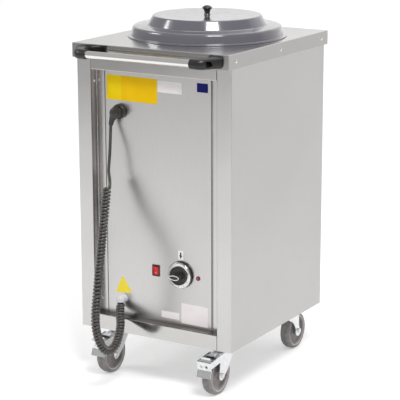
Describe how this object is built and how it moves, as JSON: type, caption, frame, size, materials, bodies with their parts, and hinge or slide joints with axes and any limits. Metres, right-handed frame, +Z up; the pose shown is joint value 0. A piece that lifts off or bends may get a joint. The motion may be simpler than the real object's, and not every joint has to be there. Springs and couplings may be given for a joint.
{
  "type": "plate dispenser cart",
  "caption": "Heated plate dispenser cart: polished steel cabinet on swivel casters with a sprung round plate well, loose domed cover, push bar, recessed control panel and curly cord.",
  "frame": {"origin": "on the floor, under the middle of the cart's length and width with its push bar", "axes": "+Z up, +Y towards the back, -Y towards the push bar and control panel, +X to the right of someone looking at the control panel"},
  "size_m": [0.4564, 0.6685, 0.9505],
  "materials": {
    "polished_steel": "polished",
    "zinc_steel": "zinc plated",
    "cover_plastic": "gloss",
    "black_plastic": "satin",
    "white_plastic": "satin",
    "red_plastic": "gloss",
    "cord_rubber": "satin",
    "wheel_plastic": "satin",
    "tyre_rubber": "matt"
  },
  "bodies": {
    "cart": {"right_side_panel": "polished_steel", "left_side_panel": "polished_steel", "front_header": "polished_steel", "front_sill": "polished_steel", "base_pan": "polished_steel", "back_panel": "polished_steel", "top_plate": "polished_steel", "push_bar": "polished_steel", "well_tube": "polished_steel", "well_collar": "polished_steel", "well_floor": "polished_steel", "control_panel": "polished_steel", "bar_bracket_screw_left": "zinc_steel", "bar_bracket_screw_right": "zinc_steel", "heating_element": "zinc_steel", "carrier_spring_1": "zinc_steel", "carrier_spring_2": "zinc_steel", "carrier_spring_3": "zinc_steel", "caster_plate_front_left": "zinc_steel", "caster_plate_front_right": "zinc_steel", "caster_plate_rear_left": "zinc_steel", "caster_plate_rear_right": "zinc_steel", "bar_bracket_left": "black_plastic", "bar_bracket_right": "black_plastic", "switch_housing": "black_plastic", "plug": "black_plastic", "thermostat": "white_plastic", "terminal_block": "white_plastic", "cable_gland": "white_plastic", "gland_nut": "white_plastic", "pilot_lamp": "red_plastic", "cord_coil": "cord_rubber", "cord_lead": "cord_rubber"},
    "cover": {"lid": "cover_plastic", "lid_knob": "black_plastic"},
    "carrier": {"plate_carrier": "polished_steel", "carrier_guide_1": "white_plastic", "carrier_guide_2": "white_plastic", "carrier_guide_3": "white_plastic"},
    "dial": {"thermostat_knob": "black_plastic", "dial_band": "polished_steel"},
    "switch_key_body": {"switch_key": "red_plastic"},
    "fork_front_left": {"caster_fork_front_left": "zinc_steel", "caster_axle_front_left": "zinc_steel"},
    "wheel_front_left": {"wheel_core_front_left": "wheel_plastic", "wheel_tyre_front_left": "tyre_rubber"},
    "fork_front_right": {"caster_fork_front_right": "zinc_steel", "caster_axle_front_right": "zinc_steel"},
    "wheel_front_right": {"wheel_core_front_right": "wheel_plastic", "wheel_tyre_front_right": "tyre_rubber"},
    "fork_rear_left": {"caster_fork_rear_left": "zinc_steel", "caster_axle_rear_left": "zinc_steel"},
    "wheel_rear_left": {"wheel_core_rear_left": "wheel_plastic", "wheel_tyre_rear_left": "tyre_rubber"},
    "fork_rear_right": {"caster_fork_rear_right": "zinc_steel", "caster_axle_rear_right": "zinc_steel"},
    "wheel_rear_right": {"wheel_core_rear_right": "wheel_plastic", "wheel_tyre_rear_right": "tyre_rubber"},
    "pedal_front_left": {"brake_pedal_front_left": "zinc_steel"},
    "pedal_front_right": {"brake_pedal_front_right": "zinc_steel"}
  },
  "joints": [
    {"name": "cover_lift", "type": "slide", "parent": "cart", "child": "cover", "axis": [0, 0, 1], "range_m": [0, 0.12]},
    {"name": "carrier_travel", "type": "slide", "parent": "cart", "child": "carrier", "axis": [0, 0, 1], "range_m": [-0.44, 0], "stiffness_N_per_m": 600, "springref_m": 0.08, "deforming": ["carrier_spring_1", "carrier_spring_2", "carrier_spring_3"]},
    {"name": "dial_turn", "type": "hinge", "parent": "cart", "child": "dial", "pos_m": [0.064, -0.1889, 0.301], "axis": [0, 1, 0], "range_deg": [0, 270]},
    {"name": "switch_rock", "type": "hinge", "parent": "cart", "child": "switch_key_body", "pos_m": [-0.01, -0.1869, 0.3015], "axis": [1, 0, 0], "range_deg": [-14, 0]},
    {"name": "swivel_front_left", "type": "hinge", "parent": "cart", "child": "fork_front_left", "pos_m": [-0.16, -0.1434, 0.116], "axis": [0, 0, 1], "continuous": true},
    {"name": "wheel_spin_front_left", "type": "hinge", "parent": "fork_front_left", "child": "wheel_front_left", "pos_m": [-0.16, -0.1784, 0.05], "axis": [1, 0, 0], "continuous": true},
    {"name": "pedal_press_front_left", "type": "hinge", "parent": "fork_front_left", "child": "pedal_front_left", "pos_m": [-0.16, -0.1779, 0.1015], "axis": [1, 0, 0], "range_deg": [0, 10]},
    {"name": "swivel_front_right", "type": "hinge", "parent": "cart", "child": "fork_front_right", "pos_m": [0.16, -0.1434, 0.116], "axis": [0, 0, 1], "continuous": true},
    {"name": "wheel_spin_front_right", "type": "hinge", "parent": "fork_front_right", "child": "wheel_front_right", "pos_m": [0.16, -0.1784, 0.05], "axis": [1, 0, 0], "continuous": true},
    {"name": "pedal_press_front_right", "type": "hinge", "parent": "fork_front_right", "child": "pedal_front_right", "pos_m": [0.16, -0.1779, 0.1015], "axis": [1, 0, 0], "range_deg": [0, 10]},
    {"name": "swivel_rear_left", "type": "hinge", "parent": "cart", "child": "fork_rear_left", "pos_m": [-0.16, 0.2026, 0.116], "axis": [0, 0, 1], "continuous": true},
    {"name": "wheel_spin_rear_left", "type": "hinge", "parent": "fork_rear_left", "child": "wheel_rear_left", "pos_m": [-0.16, 0.2376, 0.05], "axis": [1, 0, 0], "continuous": true},
    {"name": "swivel_rear_right", "type": "hinge", "parent": "cart", "child": "fork_rear_right", "pos_m": [0.16, 0.2026, 0.116], "axis": [0, 0, 1], "continuous": true},
    {"name": "wheel_spin_rear_right", "type": "hinge", "parent": "fork_rear_right", "child": "wheel_rear_right", "pos_m": [0.16, 0.2376, 0.05], "axis": [1, 0, 0], "continuous": true}
  ]
}
